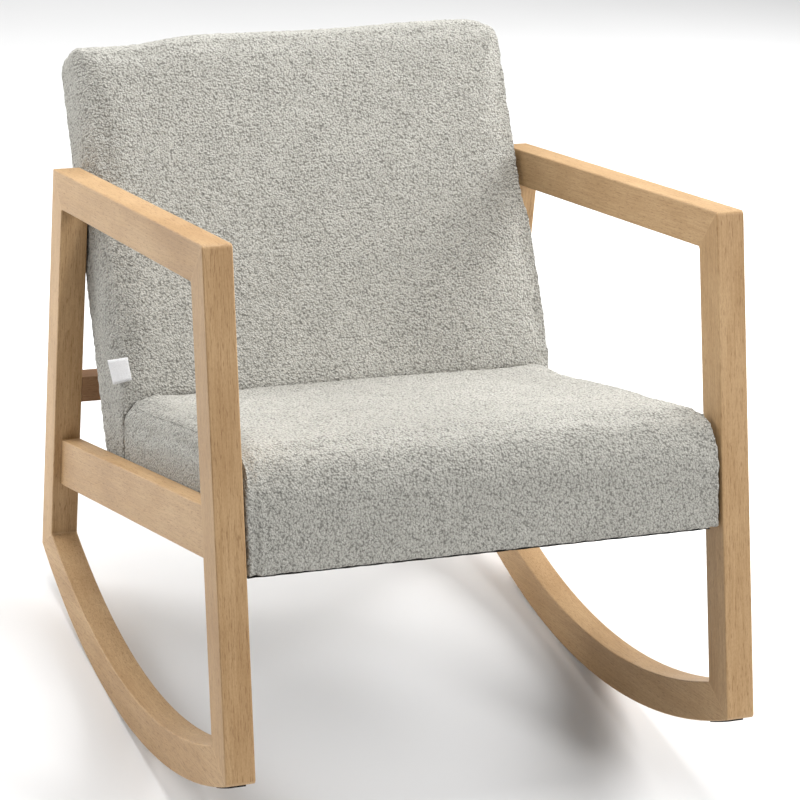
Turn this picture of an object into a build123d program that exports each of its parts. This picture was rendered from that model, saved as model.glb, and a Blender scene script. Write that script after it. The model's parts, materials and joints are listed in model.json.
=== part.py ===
from build123d import *
import math
import os

# A rocking armchair: two timber side frames on curved rockers, joined by a rear cross rail,
# with a boxed seat and a leaning back bolted between them. Millimetres, +Z up, front towards -Y.
#
# Everything is drawn in the chair's own frame: X across, U along a level armrest from its front
# end to the rear, V up from the armrest's top face. set_at_rest() then tips it back by
# rest_recline, where it balances on its rockers, and puts the floor at Z = 0.
# "left" is the -X side, as seen from the front.

# Side frame
overall_width = 640.0
timber_thickness = 34.5
armrest_length = 609.0
armrest_height = 46.2
front_leg_width = 45.9
front_leg_lean = 5.38
rear_leg_width = 44.0
rear_leg_lean = 12.08
rocker_radius = 890.7
rocker_depth = 46.3
rocker_centre = (254.0, 253.0)
front_corner_radius = 5.0
rear_corner_radius = 1.5
inner_corner_radius = 4.0
arris_radius = 1.8

# Side rail that carries the seat, and the rear cross rail between the rear legs
rail_drop = 289.3
rail_slope = 0.0985
rail_height = 60.0
rail_thickness = 25.0
cross_rail_height = 34.5
cross_rail_thickness = 25.0
cross_rail_top = 269.5
barrel_nut_setback = 30.0

# Seat unit: a board frame, webbing, foam and a cover
seat_gap = 0.5
seat_cover = 4.0
seat_underside = 364.2
seat_front_foot = -32.0
seat_front_top = (-26.0, -220.0)
seat_crown = (210.0, -235.0)
seat_rear_top = (447.0, -265.0)
seat_roll_radius = 55.0
seat_rear_radius = 18.0
seat_edge_radius = 20.0
board_thickness = 22.0
board_setback = 12.0
seat_board_height = 70.0
corner_block_leg = 45.0
corner_block_height = 49.0
corner_block_rise = 8.0
strap_width = 50.0
strap_thickness = 1.5
seat_straps_x = (-195.0, -65.0, 65.0, 195.0)
seat_straps_u = (75.0, 205.0, 335.0)
seat_bolts_u = (75.0, 210.0, 345.0)
dust_cover_thickness = 1.0
dust_cover_inset = 6.0
frame_rise = 2.0
foam_clearance = 0.5

# Back unit: two posts, three rails, webbing, foam and a cover
back_gap = 1.0
back_cover = 4.0
back_front_foot = (438.0, -262.5)
back_front_top = (619.8, 165.0)
back_rear_top = (708.2, 128.0)
back_rear_foot = (513.0, -399.0)
back_tongue_front = 451.0
back_tongue_step = 6.0
back_foam_foot = -258.0
back_top_radius = 26.0
back_edge_radius = 18.0
post_depth = 48.0
post_width = 30.0
post_head_drop = 30.0
back_rail_height = 45.0
back_rail_depth = 22.0
back_rail_middle_v = -150.0
back_rail_bottom_v = -338.0
back_straps_v = (-210.0, -120.0, -30.0, 35.0)
back_bolts_v = (-353.0, -383.0)

# Hardware
dowel_radius = 4.0
dowel_length = 40.0
dowel_spread = 16.0
bolt_radius = 3.0
bolt_head_radius = 5.5
bolt_head_height = 3.5
washer_radius = 9.0
washer_thickness = 1.5
insert_radius = 5.0
insert_length = 13.0
barrel_nut_radius = 5.0
barrel_nut_length = 18.0
stud_length = 58.0
socket_radius = 2.0
socket_depth = 2.2

# Floor pads and the sewn tag
pad_width = 20.0
pad_length = 46.0
pad_thickness = 2.0
pad_setback = 14.0
tag_low = -240.0
tag_height = 34.0
tag_thickness = 0.8
tag_sewn = (-279.8, 452.6)
tag_free = (-293.4, 467.2)

# Attitude at rest: the tip back from level armrests that puts the centre of mass under the
# centre of the rocker arc
rest_recline = 12.4

# Longer than the chair: the reach of plates that only cut
far = 1000.0

inner_face = overall_width / 2 - timber_thickness
seat_half = inner_face - seat_gap
back_half = inner_face - back_gap


# Small helpers in the U-V plane


def line_meet(p, d, q, e):
    """Where the line through p along d meets the line through q along e."""
    cross = d[0] * e[1] - d[1] * e[0]
    t = ((q[0] - p[0]) * e[1] - (q[1] - p[1]) * e[0]) / cross
    return (p[0] + t * d[0], p[1] + t * d[1])


def arc_meet(p, d, radius):
    """Where the line from p along the unit vector d crosses the circle about the rocker centre."""
    w = (p[0] - rocker_centre[0], p[1] - rocker_centre[1])
    b = w[0] * d[0] + w[1] * d[1]
    c = w[0] ** 2 + w[1] ** 2 - radius**2
    t = -b + math.sqrt(b * b - c)
    return (p[0] + t * d[0], p[1] + t * d[1])


def arc_low(radius):
    return (rocker_centre[0], rocker_centre[1] - radius)


def away(p, q, distance):
    """The point beyond p, on the line from q through p."""
    length = math.dist(p, q)
    return tuple(a + (a - b) * distance / length for a, b in zip(p, q))


def prism(face, x_low, x_high):
    """Extrudes a face drawn in U-V between two X planes."""
    return extrude(Plane.YZ.offset(x_low) * face, x_high - x_low, (1, 0, 0))


def plate(points, x_low, x_high):
    return prism(make_face(Polyline(points, close=True)), x_low, x_high)


def rod(start, direction, radius, length):
    return Plane(origin=start, z_dir=direction) * Cylinder(
        radius, length, align=(Align.CENTER, Align.CENTER, Align.MIN)
    )


def edges_along_x(solid, points, tolerance=0.6):
    """The solid's edges that run along X through the given U-V points."""
    found = []
    for edge in solid.edges().filter_by(Axis.X):
        c = edge.center()
        if any(math.hypot(c.Y - p[0], c.Z - p[1]) < tolerance for p in points):
            found.append(edge)
    return found


def corner_points(face, point):
    """The face's vertex at a drawn corner."""
    return face.vertices().sort_by_distance(Vector(*point, 0))[0]


def top_end_edges(solid):
    """The highest edge of each outermost X face; a fillet on it runs on round the tangent edges."""
    faces = solid.faces().filter_by(Axis.X).sort_by(Axis.X)
    return [face.edges().sort_by(Axis.Z)[-1] for face in (faces[0], faces[-1])]


def end_edges(solid):
    """The edges round the solid's two outermost X faces."""
    faces = solid.faces().filter_by(Axis.X).sort_by(Axis.X)
    return faces[0].edges() + faces[-1].edges()


def mirrored(shape):
    return mirror(shape, about=Plane.YZ)


def offset_toward(p, d, distance):
    """The point p moved by distance to the left of the direction d."""
    return (p[0] - d[1] * distance, p[1] + d[0] * distance)


# Side frame corners

arm_front = (0.0, 0.0)
arm_rear = (armrest_length, 0.0)
front_down = (-math.sin(math.radians(front_leg_lean)), -math.cos(math.radians(front_leg_lean)))
rear_down = (math.sin(math.radians(rear_leg_lean)), -math.cos(math.radians(rear_leg_lean)))
toe = arc_meet(arm_front, front_down, rocker_radius)
heel = arc_meet(arm_rear, rear_down, rocker_radius)
front_leg_rear = offset_toward(arm_front, front_down, front_leg_width)
rear_leg_front = offset_toward(arm_rear, rear_down, -rear_leg_width)
arm_under = (0.0, -armrest_height)
inner_radius = rocker_radius - rocker_depth
inner_arm_front = line_meet(arm_under, (1, 0), front_leg_rear, front_down)
inner_arm_rear = line_meet(arm_under, (1, 0), rear_leg_front, rear_down)
inner_toe = arc_meet(front_leg_rear, front_down, inner_radius)
inner_heel = arc_meet(rear_leg_front, rear_down, inner_radius)
CORNERS = {
    "arm_front": (arm_front, inner_arm_front),
    "arm_rear": (arm_rear, inner_arm_rear),
    "toe": (toe, inner_toe),
    "heel": (heel, inner_heel),
}


def rail_v(u, drop=0.0):
    """Height of the side rail's top edge at U, less a vertical drop."""
    return -rail_drop - rail_slope * u - drop


def side_loop():
    """The left side frame as one ring of timber, with its corners and arrises eased."""
    outer = (
        Line(arm_front, arm_rear)
        + Line(arm_rear, heel)
        + ThreePointArc(heel, arc_low(rocker_radius), toe)
        + Line(toe, arm_front)
    )
    inner = (
        Line(inner_arm_front, inner_arm_rear)
        + Line(inner_arm_rear, inner_heel)
        + ThreePointArc(inner_heel, arc_low(inner_radius), inner_toe)
        + Line(inner_toe, inner_arm_front)
    )
    ring = make_face(outer) - make_face(inner)
    loop = prism(ring, -overall_width / 2, -inner_face)
    loop = fillet(edges_along_x(loop, [arm_front, toe]), front_corner_radius)
    loop = fillet(edges_along_x(loop, [arm_rear, heel]), rear_corner_radius)
    inner_corners = [inner for _, inner in CORNERS.values()]
    loop = fillet(edges_along_x(loop, inner_corners), inner_corner_radius)
    return fillet(end_edges(loop), arris_radius)


def mitre_reach(corner, outside=40.0, inside=15.0):
    """A corner's mitre line, run on past the outer and the inner corner."""
    outer, inner = CORNERS[corner]
    return away(outer, inner, outside), away(inner, outer, inside)


def side_members():
    """Armrest, legs and rocker of the left side: the ring cut along its four mitres."""
    loop = side_loop()
    front_out, front_in = mitre_reach("arm_front")
    rear_out, rear_in = mitre_reach("arm_rear")
    toe_out, toe_in = mitre_reach("toe")
    heel_out, heel_in = mitre_reach("heel")
    below = -rocker_radius
    regions = {
        "armrest": [front_out, rear_out, rear_in, front_in],
        "front_leg": [front_out, front_in, toe_in, toe_out],
        "rear_leg": [rear_out, heel_out, heel_in, rear_in],
        "rocker": [toe_out, toe_in, heel_in, heel_out, (heel_out[0], below), (toe_out[0], below)],
    }
    margin = 1.0
    low, high = -overall_width / 2 - margin, -inner_face + margin
    return {name: loop & plate(points, low, high) for name, points in regions.items()}


def side_rail():
    """The left rail that the seat is bolted to, between the legs and flush with their inner faces."""
    top, bottom = rail_v(0), rail_v(0, rail_height)
    along = (1, -rail_slope)
    corners = [
        line_meet((0, top), along, front_leg_rear, front_down),
        line_meet((0, top), along, rear_leg_front, rear_down),
        line_meet((0, bottom), along, rear_leg_front, rear_down),
        line_meet((0, bottom), along, front_leg_rear, front_down),
    ]
    rail = plate(corners, -inner_face - rail_thickness, -inner_face)
    long_edges = [e for e in end_edges(rail) if e.length > armrest_length / 2]
    return fillet(long_edges, arris_radius)


def cross_rail_corner():
    """The cross rail's top front corner in U-V, on the rear legs' front line."""
    return line_meet((0, -cross_rail_top), (1, 0), rear_leg_front, rear_down)


def rear_cross_rail():
    start = cross_rail_corner()
    back = (rear_down[1] * -1, rear_down[0])
    low = (start[0] + rear_down[0] * cross_rail_height, start[1] + rear_down[1] * cross_rail_height)
    corners = [
        start,
        low,
        (low[0] + back[0] * cross_rail_thickness, low[1] + back[1] * cross_rail_thickness),
        (start[0] + back[0] * cross_rail_thickness, start[1] + back[1] * cross_rail_thickness),
    ]
    rail = plate(corners, -inner_face, inner_face)
    return fillet(rail.edges().filter_by(Axis.X), arris_radius)


# Joinery and hardware


def corner_dowels():
    """Two dowels across each of the left side's mitres, side by side through the thickness."""
    dowels = []
    middle = -overall_width / 2 + timber_thickness / 2
    for outer, inner in CORNERS.values():
        length = math.dist(outer, inner)
        along = ((inner[0] - outer[0]) / length, (inner[1] - outer[1]) / length)
        across = (0, -along[1], along[0])
        share = 0.55 * length
        centre = (outer[0] + along[0] * share, outer[1] + along[1] * share)
        for x in (middle - dowel_spread / 2, middle + dowel_spread / 2):
            start = Vector(x, *centre) - Vector(across) * dowel_length / 2
            dowels.append(rod(start, across, dowel_radius, dowel_length))
    return dowels


def rail_dowels():
    """Two dowels in each end of the left side rail, one above the other."""
    dowels = []
    middle = -inner_face - rail_thickness / 2
    along = (1, -rail_slope)
    run = Vector(0, *along).normalized()
    for drop in (rail_height * 0.27, rail_height * 0.73):
        level = (0, rail_v(0, drop))
        for leg_point, leg_down in ((front_leg_rear, front_down), (rear_leg_front, rear_down)):
            at = line_meet(level, along, leg_point, leg_down)
            start = Vector(middle, *at) - run * dowel_length / 2
            dowels.append(rod(start, run, dowel_radius, dowel_length))
    return dowels


def cross_rail_point(share, depth=0.5):
    """A U-V point in the cross rail's section: share down its height, depth through it."""
    start = cross_rail_corner()
    back = (rear_down[1] * -1, rear_down[0])
    down = share * cross_rail_height
    in_depth = depth * cross_rail_thickness
    return tuple(start[i] + rear_down[i] * down + back[i] * in_depth for i in (0, 1))


def cross_rail_dowels():
    low = cross_rail_point(0.76)
    length = dowel_length * 0.8
    starts = [-inner_face - length / 2, inner_face - length / 2]
    return [rod((x, *low), (1, 0, 0), dowel_radius, length) for x in starts]


def cross_rail_studs():
    """Threaded studs that tie the rear legs to the cross rail's barrel nuts."""
    high = cross_rail_point(0.3)
    into_leg = 18.0
    starts = [-inner_face - into_leg, inner_face + into_leg - stud_length]
    return [rod((x, *high), (1, 0, 0), bolt_radius, stud_length) for x in starts]


def barrel_nuts():
    """Cross-drilled nuts let into the cross rail's rear face."""
    back = (0, rear_down[1] * -1, rear_down[0])
    rear = Vector(0, *cross_rail_point(0.3, 1.0)) - Vector(back) * barrel_nut_length
    nuts = []
    for side, stud in zip((-1, 1), cross_rail_studs()):
        x = side * (inner_face - barrel_nut_setback)
        nut = rod((x, rear.Y, rear.Z), back, barrel_nut_radius, barrel_nut_length)
        nuts.append(nut - stud)
    return nuts


def seat_bolt_points():
    """U-V centres of the bolts that hold the seat to a side rail."""
    return [(u, rail_v(u, rail_height * 0.53)) for u in seat_bolts_u]


def back_bolt_points():
    """U-V centres of the bolts that hold the foot of the back to a side rail."""
    inset = (back_cover + post_depth / 2) / math.cos(math.atan(rear_slope))
    return [(rear_plane_u(v) - inset, v) for v in back_bolts_v]


def bolt(x_head, u, v):
    """A socket-head bolt on the left side, from its head's seat towards -X."""
    end = -(inner_face + insert_length - 1.0)
    shank = rod((end, u, v), (1, 0, 0), bolt_radius, x_head - end)
    head = rod((x_head, u, v), (1, 0, 0), bolt_head_radius, bolt_head_height)
    socket = rod((x_head + bolt_head_height - socket_depth, u, v), (1, 0, 0), socket_radius, socket_depth)
    return shank + head - socket


def washer(x, u, v):
    ring = rod((x, u, v), (1, 0, 0), washer_radius, washer_thickness)
    return ring - rod((x, u, v), (1, 0, 0), bolt_radius, washer_thickness)


def threaded_insert(u, v):
    tube = rod((-inner_face - insert_length, u, v), (1, 0, 0), insert_radius, insert_length)
    return tube - rod((-inner_face - insert_length, u, v), (1, 0, 0), bolt_radius, insert_length)


def side_fasteners():
    """Bolts, washers and inserts of the left side: seat bolts first, then the back's."""
    seat_seat = -(seat_half - seat_cover - board_thickness) + washer_thickness
    post_seat = -(back_half - back_cover - post_width) + washer_thickness
    places = [(seat_seat, p) for p in seat_bolt_points()] + [(post_seat, p) for p in back_bolt_points()]
    bolts = [bolt(x, *p) for x, p in places]
    washers = [washer(x - washer_thickness, *p) for x, p in places]
    inserts = [threaded_insert(*p) for _, p in places]
    return bolts, washers, inserts


# Seat unit


def seat_under(u, rise=0.0):
    """Height of the seat's underside at U, plus a rise."""
    return -seat_underside - rail_slope * u + rise


def seat_profile(drop=0.0):
    """The seat's side profile, its underside lowered by drop."""
    foot = (seat_front_foot, seat_under(seat_front_foot))
    lean = (seat_front_top[0] - foot[0]) / (seat_front_top[1] - foot[1])
    low_front = (foot[0] - lean * drop, foot[1] - drop)
    low_rear = (seat_rear_top[0], seat_under(seat_rear_top[0], -drop))
    face = make_face(
        Line(low_front, seat_front_top)
        + ThreePointArc(seat_front_top, seat_crown, seat_rear_top)
        + Line(seat_rear_top, low_rear)
        + Line(low_rear, low_front)
    )
    face = fillet(corner_points(face, seat_front_top), seat_roll_radius)
    return fillet(corner_points(face, seat_rear_top), seat_rear_radius)


def seat_block(inset, drop=0.0):
    """The seat's solid envelope drawn in by inset, its upright and top side edges rounded."""
    face = offset(seat_profile(drop), -inset, kind=Kind.INTERSECTION) if inset else seat_profile(drop)
    half = seat_half - inset
    return fillet(top_end_edges(prism(face, -half, half)), seat_edge_radius - inset)


def seat_cover_shell():
    """The fabric skin: top, front, sides and rear, open underneath."""
    return seat_block(0) - seat_block(seat_cover, 2 * seat_cover)


def seat_board(u0, u1, x0, x1, rise=frame_rise, height=seat_board_height):
    """A board of the seat frame that follows the seat's slope."""
    points = [(u0, seat_under(u0, rise)), (u1, seat_under(u1, rise))]
    points += [(u1, seat_under(u1, rise + height)), (u0, seat_under(u0, rise + height))]
    return plate(points, x0, x1)


board_rear = seat_rear_top[0] - seat_cover - foam_clearance
board_front = seat_front_foot + seat_cover + board_setback
board_half = seat_half - seat_cover


def seat_boards():
    inside = board_half - board_thickness
    side = seat_board(board_front, board_rear, -board_half, -inside)
    outer_edges = side.edges().filter_by(Axis.Z).filter_by(lambda e: e.center().X < -board_half + 1)
    side = fillet(outer_edges, seat_edge_radius - seat_cover)
    return {
        "seat_board_left": side,
        "seat_board_right": mirrored(side),
        "seat_board_front": seat_board(board_front, board_front + board_thickness, -inside, inside),
        "seat_board_rear": seat_board(board_rear - board_thickness, board_rear, -inside, inside),
    }


def seat_corner_blocks():
    """Triangular glue blocks inside the four corners of the seat frame."""
    blocks = []
    inside = board_half - board_thickness
    for u, step in ((board_front + board_thickness, 1), (board_rear - board_thickness, -1)):
        for side in (-1, 1):
            base = [(side * inside, u), (side * (inside - corner_block_leg), u)]
            base.append((side * inside, u + step * corner_block_leg))
            column = extrude(Plane.XY.offset(-far) * make_face(Polyline(base, close=True)), far)
            layer = seat_board(-far, far, -inside, inside, corner_block_rise, corner_block_height)
            blocks.append(column & layer)
    return blocks


def seat_straps():
    """Elastic webbing over the seat frame: straps front to rear, then straps across on top."""
    top = frame_rise + seat_board_height
    straps_long = []
    for x in seat_straps_x:
        low, high = x - strap_width / 2, x + strap_width / 2
        straps_long.append(seat_board(board_front, board_rear, low, high, top, strap_thickness))
    straps_across = []
    for u in seat_straps_u:
        level = top + strap_thickness
        strap = seat_board(u, u + strap_width, -board_half, board_half, level, strap_thickness)
        straps_across.append(strap)
    return straps_long, straps_across


def seat_foam():
    """The seat cushion's foam, over the webbing and down in front of the frame."""
    block = seat_block(seat_cover + foam_clearance)
    high = frame_rise + seat_board_height + 2 * strap_thickness + foam_clearance
    front_u = board_front - foam_clearance
    below = seat_board(front_u, seat_rear_top[0], -seat_half, seat_half, -far, far + high)
    return block - below


def seat_dust_cover():
    """The lining stapled under the seat frame."""
    rear_u = seat_rear_top[0] - dust_cover_inset
    half = seat_half - dust_cover_inset
    front_u = seat_front_foot + dust_cover_inset
    return seat_board(front_u, rear_u, -half, half, -dust_cover_thickness, dust_cover_thickness)


# Back unit

rear_slope = (back_rear_top[0] - back_rear_foot[0]) / (back_rear_top[1] - back_rear_foot[1])
rear_lean = math.atan(rear_slope)


def rear_plane_u(v, inset=0.0):
    """U of the back's rear face at height V, drawn in by inset."""
    return back_rear_top[0] + (v - back_rear_top[1]) * rear_slope - inset / math.cos(rear_lean)


def back_profile(drop=0.0):
    """The back's side profile, its foot lowered by drop."""
    foot_v = back_rear_foot[1] - drop
    points = [
        back_front_foot,
        back_front_top,
        back_rear_top,
        (rear_plane_u(foot_v), foot_v),
        (back_tongue_front, foot_v),
        (back_tongue_front, back_front_foot[1] - back_tongue_step),
    ]
    face = make_face(Polyline(points, close=True))
    for corner in (back_front_top, back_rear_top):
        face = fillet(corner_points(face, corner), back_top_radius)
    return face


def back_block(inset, drop=0.0):
    """The back's solid envelope drawn in by inset, its side edges rounded."""
    face = offset(back_profile(drop), -inset, kind=Kind.INTERSECTION) if inset else back_profile(drop)
    half = back_half - inset
    return fillet(top_end_edges(prism(face, -half, half)), back_edge_radius - inset)


def back_cover_shell():
    """The fabric skin all round the back, open at its foot."""
    return back_block(0) - back_block(back_cover, 2 * back_cover)


def post_strip(v0, v1, x0, x1, inset, depth):
    """A piece that lies along the back's rear face, from v0 up to v1."""
    points = [
        (rear_plane_u(v0, inset), v0),
        (rear_plane_u(v1, inset), v1),
        (rear_plane_u(v1, inset + depth), v1),
        (rear_plane_u(v0, inset + depth), v0),
    ]
    return plate(points, x0, x1)


post_inset = back_cover + foam_clearance
post_outer = back_half - back_cover
post_foot = back_rear_foot[1] + frame_rise
post_head = back_rear_top[1] - post_head_drop


def back_frame():
    """The two posts, eased to follow the cover's rear corners, and three rails between them."""
    inner = post_outer - post_width
    post = post_strip(post_foot, post_head, -post_outer, -inner, post_inset, post_depth)
    rear_edge = post.edges().filter_by(lambda e: e.center().X < -post_outer + 1).sort_by(Axis.Y)
    long_edges = [e for e in rear_edge if e.length > post_head - post_foot]
    post = fillet(long_edges[-1], back_edge_radius - back_cover)
    rails = {
        "back_rail_top": post_head - back_rail_height,
        "back_rail_middle": back_rail_middle_v,
        "back_rail_bottom": back_rail_bottom_v,
    }
    frame = {
        name: post_strip(v, v + back_rail_height, -inner, inner, post_inset, back_rail_depth)
        for name, v in rails.items()
    }
    frame["back_post_left"] = post
    frame["back_post_right"] = mirrored(post)
    return frame


def back_straps():
    """Elastic webbing across the front of the back posts."""
    inset = post_inset + post_depth
    return [
        post_strip(v, v + strap_width, -post_outer, post_outer, inset, strap_thickness)
        for v in back_straps_v
    ]


def back_foam():
    """The foam in front of the back's frame and webbing, ending above the seat."""
    block = back_block(back_cover + foam_clearance)
    behind = post_inset + post_depth + strap_thickness + foam_clearance
    rear = post_strip(-far, far, -back_half, back_half, -far, far + behind)
    low_corners = [(-far, -far), (far, -far), (far, back_foam_foot), (-far, back_foam_foot)]
    return block - rear - plate(low_corners, -back_half, back_half)


def back_top_roll():
    """Foam that rounds the back over its top rail, behind the main pad."""
    block = back_block(back_cover + foam_clearance)
    behind = post_inset + post_depth + strap_thickness
    low = post_head + foam_clearance
    top = plate([(-far, low), (far, low), (far, far), (-far, far)], -back_half, back_half)
    rear = post_strip(-far, far, -back_half, back_half, -far, far + behind)
    return block & top & rear


# Floor pads and tag


def rocker_pad(angle):
    """A pad under the left rocker, centred at an angle in degrees from the arc's lowest point."""
    middle = -overall_width / 2 + timber_thickness / 2
    half_angle = math.degrees(pad_length / 2 / rocker_radius)
    u, v = rocker_centre
    points = []
    for radius in (rocker_radius, rocker_radius + pad_thickness):
        row = []
        for turn in (angle - half_angle, angle, angle + half_angle):
            a = math.radians(turn)
            row.append((u + radius * math.sin(a), v - radius * math.cos(a)))
        points.append(row)
    (a, b, c), (d, e, f) = points
    outline = ThreePointArc(a, b, c) + Line(c, f) + ThreePointArc(f, e, d) + Line(d, a)
    return prism(make_face(outline), middle - pad_width / 2, middle + pad_width / 2)


def arc_angle(point):
    return math.degrees(math.atan2(point[0] - rocker_centre[0], rocker_centre[1] - point[1]))


def rocker_pads():
    """A pad near the toe and the heel of each rocker."""
    reach = math.degrees((pad_setback + pad_length / 2) / rocker_radius)
    left = [rocker_pad(arc_angle(toe) + reach), rocker_pad(arc_angle(heel) - reach)]
    return left + [mirrored(p) for p in left]


def side_tag():
    """A blank tag sewn into the back's left front edge, standing out along its slope."""
    run = Vector(*tag_free) - Vector(*tag_sewn)
    step = Vector(-run.Y, run.X).normalized() * tag_thickness
    corners = [Vector(*tag_sewn), Vector(*tag_free), Vector(*tag_free) + step, Vector(*tag_sewn) + step]
    section = make_face(Polyline([(c.X, c.Y) for c in corners], close=True))
    rise = back_front_top[1] - back_front_foot[1]
    slope = (0, back_front_top[0] - back_front_foot[0], rise)
    return extrude(Plane.XY.offset(tag_low) * section, tag_height, slope)


# Everything, node by node


def build():
    nodes = {}
    members = side_members()
    members["seat_rail"] = side_rail()
    bolts, washers, inserts = side_fasteners()
    corner, ends = corner_dowels(), rail_dowels()
    studs, nuts, rail_pegs = cross_rail_studs(), barrel_nuts(), cross_rail_dowels()
    fixings = seat_bolt_points() + back_bolt_points()
    start = -inner_face - insert_length
    insert_bores = [rod((start, *p), (1, 0, 0), insert_radius, insert_length) for p in fixings]
    for cutter in corner + ends + insert_bores + studs + rail_pegs:
        members = {name: shape - cutter for name, shape in members.items()}
    for name, shape in members.items():
        nodes[name + "_left"] = shape
        nodes[name + "_right"] = mirrored(shape)

    cross_rail = rear_cross_rail()
    for cutter in nuts + studs + rail_pegs:
        cross_rail = cross_rail - cutter
    nodes["rear_cross_rail"] = cross_rail
    nodes["corner_dowels"] = Compound(corner + [mirrored(d) for d in corner])
    nodes["seat_rail_dowels"] = Compound(ends + [mirrored(d) for d in ends])
    nodes["cross_rail_dowels"] = Compound(rail_pegs)
    nodes["cross_rail_studs"] = Compound(studs)
    nodes["cross_rail_barrel_nuts"] = Compound(nuts)

    covers = {"seat_cover": seat_cover_shell(), "back_cover": back_cover_shell()}
    soft_units = {**seat_boards(), **back_frame(), **covers}
    bolt_holes = [rod((-overall_width / 2, *p), (1, 0, 0), bolt_radius, overall_width) for p in fixings]
    drilled = ["seat_board_left", "seat_board_right", "back_post_left", "back_post_right", *covers]
    for name in drilled:
        for hole in bolt_holes:
            soft_units[name] = soft_units[name] - hole
    nodes.update(soft_units)

    nodes["seat_corner_blocks"] = Compound(seat_corner_blocks())
    straps_long, straps_across = seat_straps()
    nodes["seat_webbing_long"] = Compound(straps_long)
    nodes["seat_webbing_across"] = Compound(straps_across)
    nodes["seat_foam"] = seat_foam()
    nodes["seat_dust_cover"] = seat_dust_cover()
    nodes["back_webbing"] = Compound(back_straps())
    nodes["back_foam"] = back_foam()
    nodes["back_top_foam"] = back_top_roll()
    nodes["fixing_bolts"] = Compound(bolts + [mirrored(b) for b in bolts])
    nodes["fixing_washers"] = Compound(washers + [mirrored(w) for w in washers])
    nodes["threaded_inserts"] = Compound(inserts + [mirrored(i) for i in inserts])
    nodes["rocker_pads"] = Compound(rocker_pads())
    nodes["side_tag"] = side_tag()
    return nodes


def set_at_rest(nodes):
    """Tips the chair back about X, stands the rockers on Z = 0 and centres the chair's plan on the origin."""
    tipped = {name: shape.rotate(Axis.X, -rest_recline) for name, shape in nodes.items()}
    turn = math.radians(rest_recline)
    centre_z = -rocker_centre[0] * math.sin(turn) + rocker_centre[1] * math.cos(turn)
    boxes = [shape.bounding_box() for shape in tipped.values()]
    middle_y = (min(b.min.Y for b in boxes) + max(b.max.Y for b in boxes)) / 2
    shift = Location((0, -middle_y, rocker_radius - centre_z))
    return {name: shift * shape for name, shape in tipped.items()}


os.makedirs("parts", exist_ok=True)
for node, shape in set_at_rest(build()).items():
    export_step(shape, f"parts/{node}.step")
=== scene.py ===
"""Looks for a rocking armchair: oiled light timber side frames, a curly wool seat and back.

Metres throughout. The chair frame has X across, U back along a level armrest from its front
end, and V up from the armrest's top face; place() brings it to the row frame, where the
chair is tipped back as it balances.
"""

import json
import math

import bpy
import numpy as np
from mathutils import Matrix, Vector, noise


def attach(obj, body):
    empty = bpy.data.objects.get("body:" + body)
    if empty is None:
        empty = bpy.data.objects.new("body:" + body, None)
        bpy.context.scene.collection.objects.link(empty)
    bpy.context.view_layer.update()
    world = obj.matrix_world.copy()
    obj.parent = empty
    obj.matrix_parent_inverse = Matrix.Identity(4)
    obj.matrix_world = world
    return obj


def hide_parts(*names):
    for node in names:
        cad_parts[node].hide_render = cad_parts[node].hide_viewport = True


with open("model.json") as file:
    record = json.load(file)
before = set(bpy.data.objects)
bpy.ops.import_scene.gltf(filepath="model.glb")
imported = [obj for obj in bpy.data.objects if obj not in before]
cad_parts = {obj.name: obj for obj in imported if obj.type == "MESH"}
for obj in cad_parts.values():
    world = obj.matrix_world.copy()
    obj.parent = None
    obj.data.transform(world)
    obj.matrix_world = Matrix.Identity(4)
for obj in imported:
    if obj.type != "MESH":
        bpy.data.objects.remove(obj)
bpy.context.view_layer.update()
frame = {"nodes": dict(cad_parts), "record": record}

# Chair frame to row frame
RECLINE = math.radians(12.4)
ARM_FRONT = Vector((0.0, -0.26605, 0.69814))

# How much the seat's underside and its side rails rise per metre towards the front
SEAT_RISE = 0.0985
# Heights V of the seat's underside, its lining and the staples, where U is 0
SEAT_LOW = -0.3642
LINING_LOW = -0.3648
STAPLES_LOW = -0.3652

# Cushion profiles in the chair frame (U, V), corners in order round the side view
SEAT_CORNERS = [
    (-0.032, -0.361),
    (-0.026, -0.2225),
    (0.21, -0.2335),
    (0.4484, -0.264),
    (0.4484, -0.4084),
]
SEAT_RADII = [0.006, 0.055, 0.10, 0.006, 0.006]
SEAT_HALF = 0.2848
BACK_CORNERS = [
    (0.438, -0.2625),
    (0.6198, 0.165),
    (0.7082, 0.128),
    (0.513, -0.399),
    (0.4495, -0.399),
    (0.4495, -0.2625),
]
BACK_RADII = [0.004, 0.026, 0.026, 0.004, 0.004, 0.004]
BACK_HALF = 0.2850
# Direction (U, V) up the back's front face
BACK_RISE = Vector((0.391, 0.920))

# Radius of the seat's upper side edges and of the back's left front edge
SOFT_EDGE = 0.034
# How much the seat's top stands up in its middle and at its rear, and its two side seams
SEAT_CROWN = 0.002
CREASE_LIFT = 0.0065
SEAM_INSET = 0.011
SEAM_WIDTH = 0.005
SEAM_DEPTH = 0.0014
# How far the back's foot may stand forward where it hangs behind the seat
TONGUE_SLACK = 0.0008
# Radii of the back's right and left top corners
TOP_CORNERS = ((1, 0.046), (-1, 0.010))

# The cloth simulation starts this far inside the finished shape
SWELL = 0.005
# Cell size of the cloth mesh, rough width of the wool's curls, and height of its lumps
VOXEL = 0.006
CURL = 0.0025
LUMP = 0.0011


def tilt():
    """The turn from the chair frame to the row frame."""
    return Matrix.Rotation(-RECLINE, 3, "X")


def place(x, u, v):
    """A chair-frame point in the row frame."""
    return ARM_FRONT + tilt() @ Vector((x, u, v))


# Meshes


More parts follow.
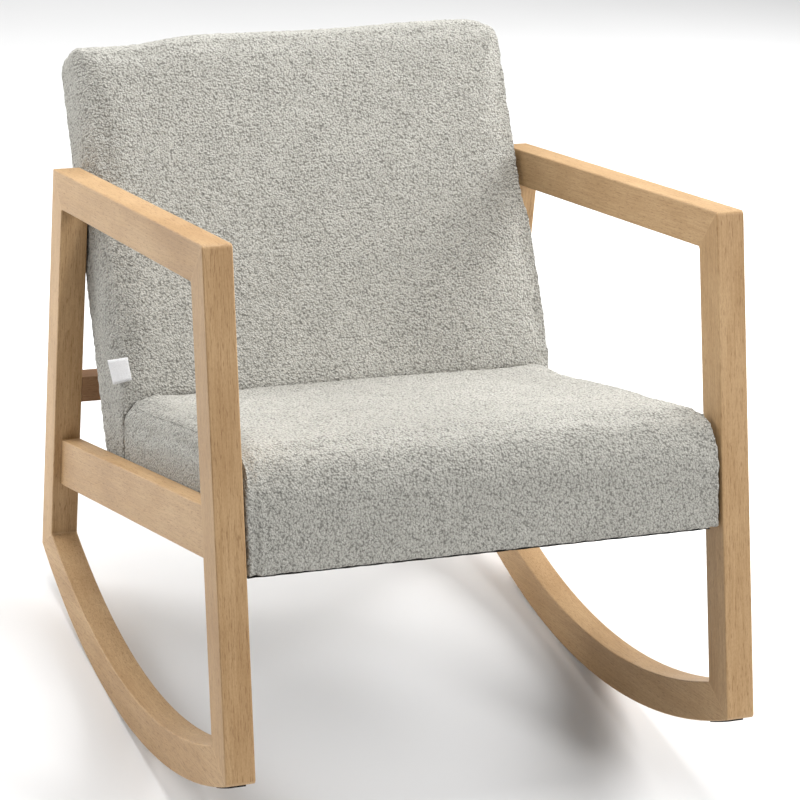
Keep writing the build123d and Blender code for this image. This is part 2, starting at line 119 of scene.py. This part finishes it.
def new_piece(name, vertices, faces, smooth=True):
    """An object made of the given vertices and faces, in the scene."""
    mesh = bpy.data.meshes.new(name)
    mesh.from_pydata([tuple(p) for p in vertices], [], faces)
    mesh.validate()
    mesh.polygons.foreach_set("use_smooth", [smooth] * len(mesh.polygons))
    piece = bpy.data.objects.new(name, mesh)
    bpy.context.scene.collection.objects.link(piece)
    return piece


def apply_modifiers(piece):
    """Turns the piece's modifiers into plain mesh."""
    graph = bpy.context.evaluated_depsgraph_get()
    mesh = bpy.data.meshes.new_from_object(piece.evaluated_get(graph))
    piece.modifiers.clear()
    piece.data = mesh
    mesh.polygons.foreach_set("use_smooth", [True] * len(mesh.polygons))


def points_of(piece):
    """The piece's vertices as rows in the chair frame."""
    flat = np.empty(len(piece.data.vertices) * 3)
    piece.data.vertices.foreach_get("co", flat)
    return (flat.reshape(-1, 3) - np.array(ARM_FRONT)) @ np.array(tilt())


def set_points(piece, rows):
    """Moves the piece's vertices to rows given in the chair frame."""
    world = rows @ np.array(tilt()).T + np.array(ARM_FRONT)
    piece.data.vertices.foreach_set("co", world.ravel())
    piece.data.update()


def normals_of(piece):
    """The vertices' normals as rows in the chair frame."""
    flat = np.empty(len(piece.data.vertices) * 3)
    piece.data.vertices.foreach_get("normal", flat)
    return flat.reshape(-1, 3) @ np.array(tilt())


def round_corner(before, corner, after, radius, steps=6):
    """Points that turn a corner on a smooth curve starting radius away from it."""
    start = corner + (before - corner).normalized() * radius
    end = corner + (after - corner).normalized() * radius
    curve = []
    for i in range(steps + 1):
        t = i / steps
        curve.append(start * (1 - t) ** 2 + corner * 2 * t * (1 - t) + end * t**2)
    return curve


def cushion_block(name, corners, radii, half, edge):
    """A block between X = -half and half with the given side profile and softened ends."""
    outline = []
    corners = [Vector(c) for c in corners]
    for i, corner in enumerate(corners):
        after = corners[(i + 1) % len(corners)]
        outline += round_corner(corners[i - 1], corner, after, radii[i])
    count = len(outline)
    vertices = [place(-half, *p) for p in outline] + [place(half, *p) for p in outline]
    faces = [(i, (i + 1) % count, (i + 1) % count + count, i + count) for i in range(count)]
    faces += [tuple(reversed(range(count))), tuple(range(count, 2 * count))]
    piece = new_piece(name, vertices, faces)
    bevel = piece.modifiers.new("soft_ends", "BEVEL")
    bevel.width = edge
    bevel.segments = 4
    bevel.angle_limit = math.radians(50)
    remesh = piece.modifiers.new("cloth_mesh", "REMESH")
    remesh.mode = "VOXEL"
    remesh.voxel_size = VOXEL
    apply_modifiers(piece)
    return piece


def inflate(piece, pressure, cap, frames=20):
    """Swells the piece like a stuffed cover; no point moves further than cap."""
    start = points_of(piece)
    cloth = piece.modifiers.new("cover", "CLOTH")
    cloth.settings.quality = 6
    cloth.settings.mass = 0.3
    cloth.settings.tension_stiffness = 20
    cloth.settings.compression_stiffness = 20
    cloth.settings.bending_stiffness = 1.5
    cloth.settings.use_pressure = True
    cloth.settings.uniform_pressure_force = pressure
    cloth.settings.effector_weights.gravity = 0
    cloth.point_cache.frame_end = frames
    for step in range(1, frames + 1):
        bpy.context.scene.frame_set(step)
    apply_modifiers(piece)
    bpy.context.scene.frame_set(1)
    move = points_of(piece) - start
    length = np.linalg.norm(move, axis=1, keepdims=True)
    set_points(piece, start + move * np.minimum(1.0, cap / np.maximum(length, 1e-9)))


def subdivide(piece):
    """Halves the mesh's cell size and smooths it."""
    piece.modifiers.new("smooth", "SUBSURF").levels = 1
    apply_modifiers(piece)


def curls(piece, height):
    """Pushes the surface in and out in lumps a few times bigger than the yarn's curls."""
    rows = points_of(piece)
    push = [noise.noise(Vector(p) / 0.0055) + 0.6 * noise.noise(Vector(p) / 0.013) for p in rows]
    set_points(piece, rows + normals_of(piece) * (np.array(push) * height)[:, None])


def rise(values, start, end):
    """0 at start and 1 at end, smooth between; start may be above end."""
    t = np.clip((values - start) / (end - start), 0, 1)
    return t * t * (3 - 2 * t)


def groove(piece, rows, distance, width, depth):
    """Sinks the rows whose distance from a seam line is under width, and lifts its lips."""
    sink = rise(np.abs(distance), width, 0)
    lips = rise(np.abs(np.abs(distance) - width * 1.6), width, 0)
    return rows - normals_of(piece) * (depth * (sink - 0.4 * lips))[:, None]


def rounding(p, q, radius):
    """How far points that are p and q inside two faces move in from each, to round their edge."""
    a = np.clip(1 - p / radius, 0, 1)
    b = np.clip(1 - q / radius, 0, 1)
    return a * (1 - np.sqrt(1 - b * b / 2)) * radius, b * (1 - np.sqrt(1 - a * a / 2)) * radius


# Materials


def blank(name, **sockets):
    """A new material with its shader's plain values set by socket name."""
    material = bpy.data.materials.new(name)
    material.use_nodes = True
    tree = material.node_tree
    shader = tree.nodes["Principled BSDF"]
    for key, value in sockets.items():
        shader.inputs[key.replace("_", " ")].default_value = value
    return material, tree, shader


def add(tree, kind, links=None, **values):
    """Adds a node: values set its properties or sockets, links wires its sockets to outputs."""
    node = tree.nodes.new("ShaderNode" + kind)
    for key, value in values.items():
        if hasattr(node, key):
            setattr(node, key, value)
        else:
            node.inputs[key.replace("_", " ")].default_value = value
    for socket, source in (links or {}).items():
        tree.links.new(source, node.inputs[socket])
    return node


def texture_space(tree, turn=(0, 0, 0), scale=(1, 1, 1), shift=(0, 0, 0)):
    """Object coordinates, turned, scaled and shifted."""
    coords = add(tree, "TexCoord")
    turned = add(tree, "Mapping", {"Vector": coords.outputs["Object"]}, Rotation=turn)
    stretched = add(tree, "Mapping", {"Vector": turned.outputs[0]}, Scale=scale, Location=shift)
    return stretched.outputs[0]


def ramp(tree, source, stops):
    """A colour ramp through (position, colour) stops."""
    node = add(tree, "ValToRGB", {"Fac": source})
    elements = node.color_ramp.elements
    while len(elements) < len(stops):
        elements.new(0.5)
    for element, (position, colour) in zip(elements, stops):
        element.position = position
        element.color = (*colour, 1)
    return node.outputs["Color"]


def mix(tree, a, b, factor, blend="MIX"):
    """Mixes colour b over a; factor is a number or an output."""
    node = tree.nodes.new("ShaderNodeMix")
    node.data_type = "RGBA"
    node.blend_type = blend
    if isinstance(factor, float):
        node.inputs["Factor"].default_value = factor
    else:
        tree.links.new(factor, node.inputs["Factor"])
    for socket, value in ((node.inputs[6], a), (node.inputs[7], b)):
        if isinstance(value, tuple):
            socket.default_value = (*value, 1)
        else:
            tree.links.new(value, socket)
    return node.outputs[2]


def math_node(tree, operation, a, b=0.0):
    """One arithmetic step on two values, each a number or an output."""
    node = tree.nodes.new("ShaderNodeMath")
    node.operation = operation
    for socket, value in zip(node.inputs, (a, b)):
        if isinstance(value, (int, float)):
            socket.default_value = value
        else:
            tree.links.new(value, socket)
    return node.outputs[0]


def bump(tree, shader, height, distance, strength=1.0):
    """Tilts the shader's normal by a height output, each unit of it distance metres high."""
    node = add(tree, "Bump", {"Height": height}, Strength=strength, Distance=distance)
    tree.links.new(node.outputs[0], shader.inputs["Normal"])


def grain_turn(along):
    """The mapping rotation that brings a direction in the row frame to the texture's X."""
    return Vector(along).to_track_quat("X", "Z").inverted().to_euler()


def worn_and_lit_edges(tree):
    """1 on sharp edges, 0 on flat faces, broken up along the edge: where the timber is painted
    paler, partly as wear and partly as a painted highlight.
    """
    soft = add(tree, "Bevel", samples=4, Radius=0.0028)
    flat = add(tree, "NewGeometry")
    turn = add(
        tree,
        "VectorMath",
        {0: soft.outputs["Normal"], 1: flat.outputs["Normal"]},
        operation="DOT_PRODUCT",
    )
    sharp = add(tree, "MapRange", {"Value": turn.outputs["Value"]}, From_Min=0.995, From_Max=0.86)
    broken = add(tree, "TexNoise", {"Vector": texture_space(tree)}, Scale=60.0, Detail=2.0)
    patches = add(tree, "MapRange", {"Value": broken.outputs["Fac"]}, From_Min=0.35, From_Max=0.6)
    return math_node(tree, "MULTIPLY", sharp.outputs[0], patches.outputs[0])


def timber(name, along, tone, seed):
    """Oiled light hardwood, its grain along a direction: figure, fibres, pores, and edges painted
    paler, partly as wear and partly as a painted highlight.
    """
    material, tree, shader = blank(name, Specular_IOR_Level=0.35)
    turn = grain_turn(along)
    shift = (seed * 1.7, seed * 2.3, seed * 0.9)

    def layer(stretch, stops, **values):
        space = texture_space(tree, turn, stretch, shift)
        fac = add(tree, "TexNoise", {"Vector": space}, Scale=1.0, **values).outputs["Fac"]
        return fac, ramp(tree, fac, stops)

    figure_stops = [(0.34, (0.89, 0.85, 0.79)), (0.64, (1.05, 1.06, 1.08))]
    figure = layer((1.8, 17, 17), figure_stops, Detail=4.0, Distortion=0.6)[1]
    fibre_stops = [(0.34, (0.86, 0.82, 0.76)), (0.62, (1.04, 1.04, 1.05))]
    fibre_height, fibres = layer((16, 480, 480), fibre_stops, Detail=3.0, Roughness=0.6)
    pore_stops = [(0.31, (0.50, 0.40, 0.30)), (0.41, (1, 1, 1))]
    pore_height, pores = layer((85, 950, 950), pore_stops, Detail=1.0)
    blotch_stops = [(0.34, (0.90, 0.86, 0.81)), (0.66, (1.04, 1.04, 1.05))]
    blotches = layer((7, 12, 12), blotch_stops, Detail=3.0)[1]
    fleck_stops = [(0.36, (0.90, 0.87, 0.84)), (0.60, (1.03, 1.03, 1.03))]
    flecks = layer((330, 700, 700), fleck_stops, Detail=1.0)[1]
    body = mix(tree, figure, tone, 1.0, "MULTIPLY")
    body = mix(tree, body, flecks, 0.6, "MULTIPLY")
    body = mix(tree, body, fibres, 0.85, "MULTIPLY")
    body = mix(tree, body, pores, 0.55, "MULTIPLY")
    body = mix(tree, body, blotches, 1.0, "MULTIPLY")
    # Paler tone on the edges: partly worn finish, partly a painted highlight where the edges catch
    # the light
    pale = tuple(min(1.0, c * 1.25 + 0.03) for c in tone)
    edge_wear_and_highlight = math_node(tree, "MULTIPLY", worn_and_lit_edges(tree), 0.6)
    tree.links.new(mix(tree, body, pale, edge_wear_and_highlight), shader.inputs["Base Color"])
    rough = add(tree, "MapRange", {"Value": fibre_height}, To_Min=0.42, To_Max=0.62)
    tree.links.new(rough.outputs[0], shader.inputs["Roughness"])
    height = math_node(tree, "ADD", fibre_height, pore_height)
    bump(tree, shader, height, 0.0002, 0.4)
    return material


def curly_wool(name):
    """Looped wool: pale soft curls, with painted shade darkening the small pits between them."""
    material, tree, shader = blank(name, Roughness=0.95, Specular_IOR_Level=0.1, Sheen_Weight=0.12)
    shader.inputs["Sheen Roughness"].default_value = 0.6
    coords = texture_space(tree)
    drift = add(tree, "TexNoise", {"Vector": coords}, Scale=0.9 / CURL, Detail=1.0)
    drifting = {0: drift.outputs["Color"], 2: coords}
    swirl = add(tree, "VectorMath", drifting, operation="MULTIPLY_ADD")
    swirl.inputs[1].default_value = (CURL, CURL, CURL)
    curled = {"Vector": swirl.outputs[0]}
    knots = add(tree, "TexVoronoi", curled, feature="SMOOTH_F1", Scale=0.95 / CURL, Smoothness=0.35)
    yarns = add(tree, "TexNoise", {"Vector": coords}, Scale=1.1 / CURL, Detail=1.0, Distortion=0.8)
    lift = math_node(tree, "MULTIPLY", yarns.outputs["Fac"], -0.75)
    depth = math_node(tree, "ADD", knots.outputs["Distance"], lift)
    height = math_node(tree, "SUBTRACT", 0.5, depth)
    # Painted shade: the colour darkens towards the pits between the curls and is lightest on their
    # crowns
    shaded_pit_to_crown = [
        (0.04, (0.245, 0.238, 0.215)),
        (0.24, (0.390, 0.380, 0.346)),
        (0.46, (0.492, 0.479, 0.439)),
        (0.80, (0.560, 0.546, 0.504)),
    ]
    tone = ramp(tree, height, shaded_pit_to_crown)
    cloud = add(tree, "TexNoise", {"Vector": coords}, Scale=26.0, Detail=2.0)
    cloud_stops = [(0.35, (0.95, 0.95, 0.94)), (0.65, (1.02, 1.02, 1.01))]
    cloud_tone = ramp(tree, cloud.outputs["Fac"], cloud_stops)
    tree.links.new(mix(tree, tone, cloud_tone, 1.0, "MULTIPLY"), shader.inputs["Base Color"])
    bump(tree, shader, height, 0.0028, 1.0)
    return material


def woven(name, dark, light, pitch):
    """Plain weave in two directions, for webbing, lining and tags."""
    material, tree, shader = blank(name, Roughness=0.85, Sheen_Weight=0.15)
    coords = texture_space(tree)
    warp = add(tree, "TexWave", {"Vector": coords}, Scale=1 / pitch, bands_direction="X")
    weft = add(tree, "TexWave", {"Vector": coords}, Scale=1 / pitch, bands_direction="Y")
    height = math_node(tree, "MULTIPLY", warp.outputs["Fac"], weft.outputs["Fac"])
    lint = add(tree, "TexNoise", {"Vector": coords}, Scale=0.4 / pitch, Detail=3.0)
    fuzz = math_node(tree, "ADD", height, lint.outputs["Fac"])
    tone = ramp(tree, fuzz, [(0.4, dark), (1.3, light)])
    tree.links.new(tone, shader.inputs["Base Color"])
    bump(tree, shader, height, pitch / 4, 0.5)
    return material


def foam_cells(name):
    """Yellowish upholstery foam with fine open cells."""
    material, tree, shader = blank(name, Roughness=0.95)
    cells = add(tree, "TexVoronoi", {"Vector": texture_space(tree)}, Scale=900.0)
    stops = [(0.1, (0.62, 0.52, 0.28)), (0.6, (0.86, 0.80, 0.58))]
    tone = ramp(tree, cells.outputs["Distance"], stops)
    tree.links.new(tone, shader.inputs["Base Color"])
    bump(tree, shader, cells.outputs["Distance"], 0.0005)
    return material


def zinc(name):
    """Zinc-plated steel with faint spangle and scuffs."""
    material, tree, shader = blank(name, Metallic=1.0, Roughness=0.35)
    spangle = add(tree, "TexVoronoi", {"Vector": texture_space(tree)}, Scale=700.0)
    stops = [(0.0, (0.52, 0.53, 0.55)), (0.8, (0.68, 0.69, 0.70))]
    tone = ramp(tree, spangle.outputs["Distance"], stops)
    scuff = add(tree, "TexNoise", {"Vector": texture_space(tree)}, Scale=300.0, Detail=5.0)
    rough = add(tree, "MapRange", {"Value": scuff.outputs["Fac"]}, To_Min=0.25, To_Max=0.5)
    tree.links.new(tone, shader.inputs["Base Color"])
    tree.links.new(rough.outputs[0], shader.inputs["Roughness"])
    return material


def rubber(name):
    """Black rubber with a little dust."""
    material, tree, shader = blank(name, Roughness=0.8)
    dust = add(tree, "TexNoise", {"Vector": texture_space(tree)}, Scale=500.0, Detail=4.0)
    stops = [(0.4, (0.008, 0.008, 0.008)), (0.7, (0.03, 0.03, 0.03))]
    tone = ramp(tree, dust.outputs["Fac"], stops)
    tree.links.new(tone, shader.inputs["Base Color"])
    bump(tree, shader, dust.outputs["Fac"], 0.0003, 0.5)
    return material


def row_direction(u, v):
    """A direction in the chair's side plane, turned to the row frame."""
    return tilt() @ Vector((0.0, u, v))


# Timber colours, and each timber node's grain direction by the start of its name
OAK = (0.482, 0.323, 0.169)
# Darker tone for the rear cross rail: painted shade for the shade it sits in under the back
SHADED_RAIL_OAK = (0.29, 0.165, 0.082)
PINE = (0.50, 0.36, 0.20)

GRAIN = {
    "armrest": row_direction(1, 0),
    "front_leg": row_direction(0.094, 1),
    "rear_leg": row_direction(-0.214, 1),
    "rocker": row_direction(1, 0.03),
    "seat_rail": row_direction(1, -SEAT_RISE),
    "rear_cross": Vector((1, 0, 0)),
    "back_rail": Vector((1, 0, 0)),
    "back_post": row_direction(0.37, 1),
    "seat_board_front": Vector((1, 0, 0)),
    "seat_board_rear": Vector((1, 0, 0)),
    "seat_board": row_direction(1, -SEAT_RISE),
    "corner_dowels": row_direction(0.7, 0.7),
    "seat_rail_dowels": row_direction(1, -SEAT_RISE),
    "cross_rail_dowels": Vector((1, 0, 0)),
    "seat_corner_blocks": row_direction(0, 1),
}


def grain_of(node):
    """The grain direction of a timber node, by the longest name that it starts with."""
    names = sorted((n for n in GRAIN if node.startswith(n)), key=len)
    return GRAIN[names[-1]]


def paint(piece, material):
    """Makes the material the piece's only one."""
    piece.data.materials.clear()
    piece.data.materials.append(material)


def dress_cad_nodes():
    """Gives each CAD node a procedural material by its slot in the record, each timber its own."""
    slots = {s["node"]: s["material_slot"] for s in frame["record"]["subparts"]}
    shared = {
        "zinc_steel": zinc("zinc_plate"),
        "webbing": woven("jute_webbing", (0.08, 0.06, 0.045), (0.26, 0.21, 0.16), 0.002),
        "foam": foam_cells("foam_cells"),
        "boucle": curly_wool("curly_wool_cad"),
        "black_lining": woven("black_lining", (0.006, 0.006, 0.006), (0.03, 0.03, 0.03), 0.0008),
        "black_rubber": rubber("black_rubber"),
        "tag_white": woven("white_tape", (0.62, 0.62, 0.61), (0.86, 0.86, 0.85), 0.0006),
    }
    tones = {"oak": OAK, "dowel_beech": PINE, "frame_pine": PINE}
    for seed, (name, node) in enumerate(sorted(frame["nodes"].items())):
        slot = slots[name]
        if slot in tones:
            # The rear cross rail takes the darker tone, which is painted shade
            tone = SHADED_RAIL_OAK if name == "rear_cross_rail" else tones[slot]
            paint_slots(node, timber("timber_" + name, grain_of(name), tone, seed))
        else:
            paint_slots(node, shared[slot])


def paint_slots(node, material):
    """Assigns a material to every slot of a CAD node."""
    for slot in node.material_slots:
        slot.material = material


# Soft pieces


def puff(piece, give):
    """Swells a slightly smaller copy as cloth and keeps how far each point stands in or out.

    No point ends deeper than its give, which is small where there is timber under the cover.
    """
    full, outward = points_of(piece), normals_of(piece)
    set_points(piece, full - outward * SWELL)
    inflate(piece, 4.0, SWELL + 0.0015)
    stand = ((points_of(piece) - full) * outward).sum(axis=1)
    stand = np.clip(stand - np.median(stand), -give(full), 0.0025)
    set_points(piece, full + outward * stand[:, None])
    subdivide(piece)


def declare_cushion(piece, fill, *nodes):
    """Paints the piece curly wool, hangs it on the root body and hides the CAD nodes that it stands
    for.
    """
    paint(piece, curly_wool("curly_wool_" + piece.name))
    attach(piece, "root")
    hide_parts(*nodes)


def seat_underside(rows):
    """The height of the seat's underside below each row."""
    return SEAT_LOW - SEAT_RISE * rows[:, 1]


def seat_give(rows):
    """How deep the seat's cover may sink: least over the boards and against the back."""
    above_boards = rise(rows[:, 2] - seat_underside(rows), 0.08, 0.12)
    return 0.002 + 0.004 * above_boards * rise(rows[:, 1], 0.445, 0.40)


def back_give(rows):
    """How deep the back's cover may sink: least over the posts and against the seat."""
    over_foam = rise(behind_front(rows), 0.03, 0.01)
    return 0.002 + 0.004 * over_foam * rise(rows[:, 2], -0.255, -0.21)


def from_foot(rows):
    """How far each row is behind and above the foot of the back's front face."""
    return rows[:, 1] - BACK_CORNERS[0][0], rows[:, 2] - BACK_CORNERS[0][1]


def behind_front(rows):
    """How far each row is behind the plane of the back's front face."""
    behind, above = from_foot(rows)
    return behind * BACK_RISE.y - above * BACK_RISE.x


def seat_cushion():
    """The boxed seat: crowned top, thick front roll, a seam along each side."""
    piece = cushion_block("seat_cushion", SEAT_CORNERS, SEAT_RADII, SEAT_HALF, 0.018)
    puff(piece, seat_give)
    rows = points_of(piece)
    top = np.array(SEAT_CORNERS[1:4])
    crown = np.interp(rows[:, 1], top[:, 0], top[:, 1])
    for side in (1, -1):
        inward, down = rounding(SEAT_HALF - side * rows[:, 0], crown - rows[:, 2], SOFT_EDGE)
        behind_roll = rise(rows[:, 1], -0.02, 0.06)
        rows[:, 0] -= side * inward * behind_roll
        rows[:, 2] -= down * behind_roll
    on_top = rise(rows[:, 2], -0.30, -0.25)
    rows[:, 2] += SEAT_CROWN * on_top * rise(np.abs(rows[:, 0]), SEAT_HALF, 0.05)
    rows[:, 2] += CREASE_LIFT * on_top * rise(rows[:, 1], 0.34, 0.43)
    seam = np.abs(rows[:, 0]) - (SEAT_HALF - SEAM_INSET)
    set_points(piece, groove(piece, rows, seam, SEAM_WIDTH, SEAM_DEPTH))
    curls(piece, LUMP)
    rows = points_of(piece)
    rows[:, 0] = np.clip(rows[:, 0], -SEAT_HALF, SEAT_HALF)
    rows[:, 1] = np.minimum(rows[:, 1], SEAT_CORNERS[3][0])
    under_back = rows[:, 1] > BACK_CORNERS[0][0] - 0.0025
    rows[under_back, 2] = np.minimum(rows[under_back, 2], BACK_CORNERS[0][1] - 0.001)
    rows[:, 2] = np.maximum(rows[:, 2], seat_underside(rows))
    set_points(piece, rows)
    declare_cushion(piece, 0.9, "seat_cover", "seat_foam")


def up_back(rows):
    """How far each row is up the back from the foot of its front face."""
    behind, above = from_foot(rows)
    return behind * BACK_RISE.x + above * BACK_RISE.y


def side_bulge(rows):
    """How far the back's right side stands out below the armrest and before the rear leg."""
    below_armrest = rise(rows[:, 2], -0.053, -0.085) * rise(rows[:, 2], -0.255, -0.20)
    return 0.006 * below_armrest * rise(behind_front(rows), 0.042, 0.020) * (rows[:, 0] > 0)


def corner_drop(rows):
    """How far the back's foot reaches down over the seat's rounded rear corners."""
    over = np.clip(np.abs(rows[:, 0]) - (SEAT_HALF - SOFT_EDGE), 0, 0.9 * SOFT_EDGE)
    return SOFT_EDGE - np.sqrt(SOFT_EDGE**2 - over**2)


def shape_back(rows):
    """Rounds the back's left front edge and top corners, and makes its top uneven."""
    top = (Vector(BACK_CORNERS[1]) - Vector(BACK_CORNERS[0])).dot(BACK_RISE)
    inward, rearward = rounding(BACK_HALF + rows[:, 0], behind_front(rows), SOFT_EDGE)
    above_seat = rise(up_back(rows), 0.0, 0.06)
    rows[:, 0] += inward * above_seat
    rows[:, 1] += rearward * above_seat * BACK_RISE.y
    rows[:, 2] -= rearward * above_seat * BACK_RISE.x
    for side, corner in TOP_CORNERS:
        inward, down = rounding(BACK_HALF - side * rows[:, 0], top - up_back(rows), corner)
        rows[:, 0] -= side * inward
        rows[:, 1] -= down * BACK_RISE.x
        rows[:, 2] -= down * BACK_RISE.y
    wave = 0.003 + 0.0065 * rise(rows[:, 0], 0.0, 0.23) - 0.011 * rise(rows[:, 0], -0.11, -0.23)
    rows[:, 2] += wave * rise(rows[:, 2], -0.10, 0.14)
    rows[:, 0] += side_bulge(rows) * rise(rows[:, 0], 0.22, BACK_HALF)


def back_cushion():
    """The leaning back, with soft edges and a slightly uneven top."""
    piece = cushion_block("back_cushion", BACK_CORNERS, BACK_RADII, BACK_HALF, 0.012)
    puff(piece, back_give)
    rows = points_of(piece)
    shape_back(rows)
    set_points(piece, rows)
    curls(piece, LUMP)
    rows = points_of(piece)
    rows[:, 0] = np.clip(rows[:, 0], -BACK_HALF, BACK_HALF + side_bulge(rows))
    above_tongue = rows[:, 1] < BACK_CORNERS[4][0] - TONGUE_SLACK
    foot = rise(rows[:, 2], -0.230, BACK_CORNERS[0][1]) * corner_drop(rows)
    rows[above_tongue, 2] = np.maximum(rows[above_tongue, 2], BACK_CORNERS[0][1])
    rows[above_tongue, 2] -= foot[above_tongue]
    tongue = ~above_tongue & (rows[:, 2] < BACK_CORNERS[0][1] - 0.001)
    rows[tongue, 1] = np.maximum(rows[tongue, 1], BACK_CORNERS[4][0] - TONGUE_SLACK)
    rows[:, 2] = np.maximum(rows[:, 2], BACK_CORNERS[3][1])
    set_points(piece, rows)
    declare_cushion(piece, 0.85, "back_cover", "back_foam", "back_top_foam")


def cloth_sheet(name, spots, thickness):
    """A thin sheet through a grid of points given in the chair frame, row by row."""
    count = len(spots[0])
    vertices = [place(*spot) for line in spots for spot in line]
    faces = []
    for i in range(len(spots) - 1):
        for j in range(count - 1):
            a = i * count + j
            faces.append((a, a + 1, a + count + 1, a + count))
    piece = new_piece(name, vertices, faces)
    solid = piece.modifiers.new("thickness", "SOLIDIFY")
    solid.thickness = thickness
    solid.offset = 0
    apply_modifiers(piece)
    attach(piece, "root")
    return piece


def side_tag():
    """A blank tape label sewn into the back's left front edge, curling a little."""
    sewn_top, sewn_low = Vector((-0.2740, 0.4637, -0.2140)), Vector((-0.2740, 0.4470, -0.2392))
    free_top, free_low = Vector((-0.2920, 0.4789, -0.2188)), Vector((-0.2895, 0.4639, -0.2465))
    spots = []
    for i in range(10):
        out = -0.12 + 1.12 * i / 9
        curl = Vector((-0.0012, -0.0012, 0.0)) * math.sin(math.pi * out)
        line = []
        for j in range(9):
            sewn = sewn_top.lerp(sewn_low, j / 8)
            free = free_top.lerp(free_low, j / 8)
            line.append(tuple(sewn + (free - sewn) * out + curl))
        spots.append(line)
    piece = cloth_sheet("blank_tag", spots, 0.0008)
    paint(piece, woven("tag_tape", (0.66, 0.66, 0.66), (0.86, 0.86, 0.87), 0.0006))
    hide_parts("side_tag")


def dust_cover():
    """Thin black lining under the seat: slack between its stapled edges, with faint creases."""
    front, rear, half = -0.016, 0.441, 0.279
    spots = []
    for i in range(61):
        u = front + (rear - front) * i / 60
        line = []
        for j in range(61):
            x = -half + 2 * half * j / 60
            edge = min(u - front, rear - u, half - abs(x))
            slack = float(rise(np.array(edge), 0.0, 0.09))
            broad = noise.noise(Vector((x * 9, u * 22, 0.3)))
            fine = noise.noise(Vector((x * 30, u * 12, 1.7)))
            sag = slack * (0.0025 + 0.0012 * (broad + fine))
            pull = (1 - slack) * 0.0006 * math.sin(u * 105) * math.sin(x * 105)
            line.append((x, u, LINING_LOW - SEAT_RISE * u - sag - abs(pull)))
        spots.append(line)
    piece = cloth_sheet("dust_lining", spots, 0.0004)
    paint(piece, woven("black_felt", (0.006, 0.006, 0.006), (0.035, 0.035, 0.036), 0.0012))
    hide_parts("seat_dust_cover")


def staples():
    """Wire staples round the edge of the lining, each a bar with two short bent legs."""
    spots = []
    for i in range(10):
        u = 0.008 + i * 0.045
        spots += [(-0.272, u, 0.0), (0.272, u, 0.0)]
    for i in range(11):
        x = -0.24 + i * 0.048
        spots += [(x, -0.010, 1.0), (x, 0.434, 1.0)]
    vertices, faces = [], []
    half, wire = 0.005, 0.0005
    for x, u, across in spots:
        low = STAPLES_LOW - SEAT_RISE * u
        arc = [(-half, 0.0012), (-half * 0.92, 0.0), (half * 0.92, 0.0), (half, 0.0012)]
        for a, lift in arc:
            for b, drop in ((-wire, -wire), (wire, -wire), (wire, wire), (-wire, wire)):
                dx, du = (a, b) if across else (b, a)
                vertices.append(place(x + dx, u + du, low + lift + drop - SEAT_RISE * du))
        start = len(vertices) - 16
        for k in range(3):
            for m in range(4):
                n = (m + 1) % 4
                ring = start + 4 * k
                faces.append((ring + m, ring + n, ring + 4 + n, ring + 4 + m))
        faces.append((start, start + 3, start + 2, start + 1))
        faces.append((start + 12, start + 13, start + 14, start + 15))
    piece = new_piece("lining_staples", vertices, faces, smooth=False)
    paint(piece, zinc("staple_wire"))
    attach(piece, "root")


# Studio

CHAIR_MIDDLE = (0, 0, 0.35)
WORLD_LIGHT = 0.31

# Soft lights: name, place, side in metres and power in watts
LIGHTS = [
    ("top", (0.0, 0.0, 2.8), 1.6, 58),
    ("top_rear", (-0.3, 1.8, 2.4), 1.2, 18),
    ("rear_left", (-2.0, 2.0, 1.4), 1.4, 56),
    ("rear_right", (2.6, 1.0, 1.4), 1.4, 88),
    ("right", (2.8, -0.4, 1.2), 1.4, 28),
    ("front_high", (1.5, -2.9, 2.3), 0.7, 46),
]


def camera():
    """The view from the chair's front left, a little above."""
    eye = place(-1.2401, -2.9332, 0.5211)
    ahead = tilt() @ Vector((0.3544, 0.9091, -0.2188))
    right = tilt() @ Vector((0.9316, -0.3635, -0.0013))
    up = right.cross(ahead)
    turn = Matrix((right, up, -ahead)).transposed().to_4x4()
    data = bpy.data.cameras.new("camera")
    data.lens = 133.07
    data.sensor_width = 36.0
    data.clip_end = 50.0
    view = bpy.data.objects.new("camera", data)
    view.matrix_world = Matrix.Translation(eye) @ turn
    bpy.context.scene.collection.objects.link(view)
    bpy.context.scene.camera = view


def soft_box(name, spot, size, power):
    """A square soft light aimed at the middle of the chair."""
    data = bpy.data.lights.new(name, "AREA")
    data.shape = "RECTANGLE"
    data.size = data.size_y = size
    data.energy = power
    light = bpy.data.objects.new(name, data)
    light.location = spot
    aim = Vector(CHAIR_MIDDLE) - Vector(spot)
    light.rotation_euler = aim.to_track_quat("-Z", "Y").to_euler()
    bpy.context.scene.collection.objects.link(light)


def studio():
    """A pale floor, an even white surround and the soft lights."""
    corners = [(-15, -15, 0), (15, -15, 0), (15, 15, 0), (-15, 15, 0)]
    floor = new_piece("studio_floor", corners, [(0, 1, 2, 3)])
    material, tree, shader = blank("studio_floor", Roughness=0.9)
    mottle = add(tree, "TexNoise", {"Vector": texture_space(tree)}, Scale=2.0)
    stops = [(0.3, (0.77, 0.77, 0.77)), (0.7, (0.80, 0.80, 0.80))]
    tone = ramp(tree, mottle.outputs["Fac"], stops)
    tree.links.new(tone, shader.inputs["Base Color"])
    paint(floor, material)
    world = bpy.data.worlds.new("studio")
    world.use_nodes = True
    sky = world.node_tree.nodes["Background"]
    sky.inputs["Color"].default_value = (1, 1, 1, 1)
    sky.inputs["Strength"].default_value = WORLD_LIGHT
    bpy.context.scene.world = world
    for light in LIGHTS:
        soft_box(*light)
    bpy.context.scene.view_settings.view_transform = "Standard"


dress_cad_nodes()
seat_cushion()
back_cushion()
side_tag()
dust_cover()
staples()
camera()
studio()
